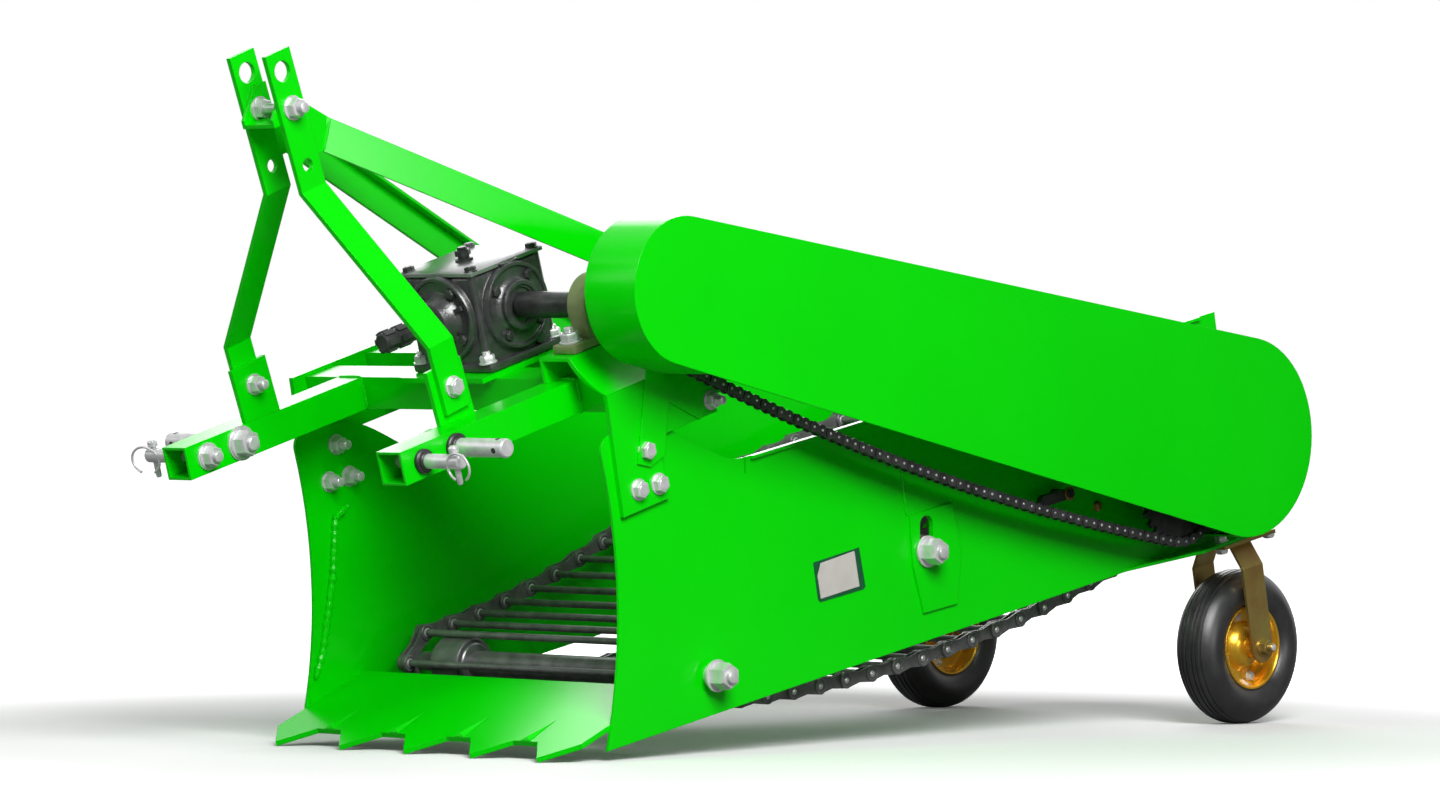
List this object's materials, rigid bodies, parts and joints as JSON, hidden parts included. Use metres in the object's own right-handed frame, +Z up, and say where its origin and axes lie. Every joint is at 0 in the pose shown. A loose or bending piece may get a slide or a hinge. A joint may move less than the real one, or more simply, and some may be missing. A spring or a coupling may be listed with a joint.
{
  "type": "potato harvester",
  "caption": "Tractor-mounted single-row potato harvester: toothed share, rod-web elevator between side plates, gearbox with guarded chain drive, A-frame hitch and two rear wheels.",
  "frame": {"origin": "on the floor, under the middle of the machine's bounding box", "axes": "+X to the machine's left (chain side), +Y rearward, away from the tractor, +Z up"},
  "size_m": [0.8296, 2, 1.0424],
  "materials": {
    "green_paint": "glossy powder coat",
    "dark_steel": "dark oiled steel",
    "cast_iron": "black enamelled casting",
    "olive_casting": "olive primed casting",
    "bright_zinc": "bright zinc plate",
    "yellow_zinc": "yellow passivated zinc",
    "gold_rim": "gold lacquer over pressed steel",
    "tyre_rubber": "black rubber"
  },
  "bodies": {
    "root": {"bearing_shelf": "green_paint", "bracket_left": "green_paint", "bracket_right": "green_paint", "chain_guard": "green_paint", "cross_tube_front": "green_paint", "cross_tube_rear": "green_paint", "drive_chain": "dark_steel", "drive_shaft": "dark_steel", "fork_left": "yellow_zinc", "fork_right": "yellow_zinc", "front_roller": "dark_steel", "gearbox_housing": "cast_iron", "gearbox_lid": "cast_iron", "gearbox_plate": "green_paint", "guard_back": "green_paint", "hitch_arm_left": "green_paint", "hitch_arm_right": "green_paint", "hitch_pins_front": "bright_zinc", "hitch_pins_rear": "bright_zinc", "lug_bolts": "bright_zinc", "mast_bar_left": "green_paint", "mast_bar_right": "green_paint", "mast_bolt": "bright_zinc", "mast_lugs": "green_paint", "mast_spacer": "green_paint", "output_shaft": "dark_steel", "pto_shaft": "dark_steel", "rear_bearings": "olive_casting", "rear_tube": "green_paint", "rod_web": "dark_steel", "shaft_bearing": "olive_casting", "share": "green_paint", "side_plate_left": "green_paint", "side_plate_right": "green_paint", "sprocket_large": "dark_steel", "sprocket_small": "dark_steel", "stay_left": "green_paint", "stay_right": "green_paint", "support_roller": "dark_steel", "web_wheels": "dark_steel", "wheel_axles": "yellow_zinc"},
    "wheel_left": {"tyre_left": "tyre_rubber", "rim_left": "gold_rim"},
    "wheel_right": {"tyre_right": "tyre_rubber", "rim_right": "gold_rim"}
  },
  "joints": [
    {"name": "wheel_left_spin", "type": "hinge", "parent": "root", "child": "wheel_left", "pos_m": [0.29875, 0.87499, 0.125], "axis": [1, 0, 0], "continuous": true},
    {"name": "wheel_right_spin", "type": "hinge", "parent": "root", "child": "wheel_right", "pos_m": [-0.34925, 0.87499, 0.125], "axis": [1, 0, 0], "continuous": true}
  ]
}
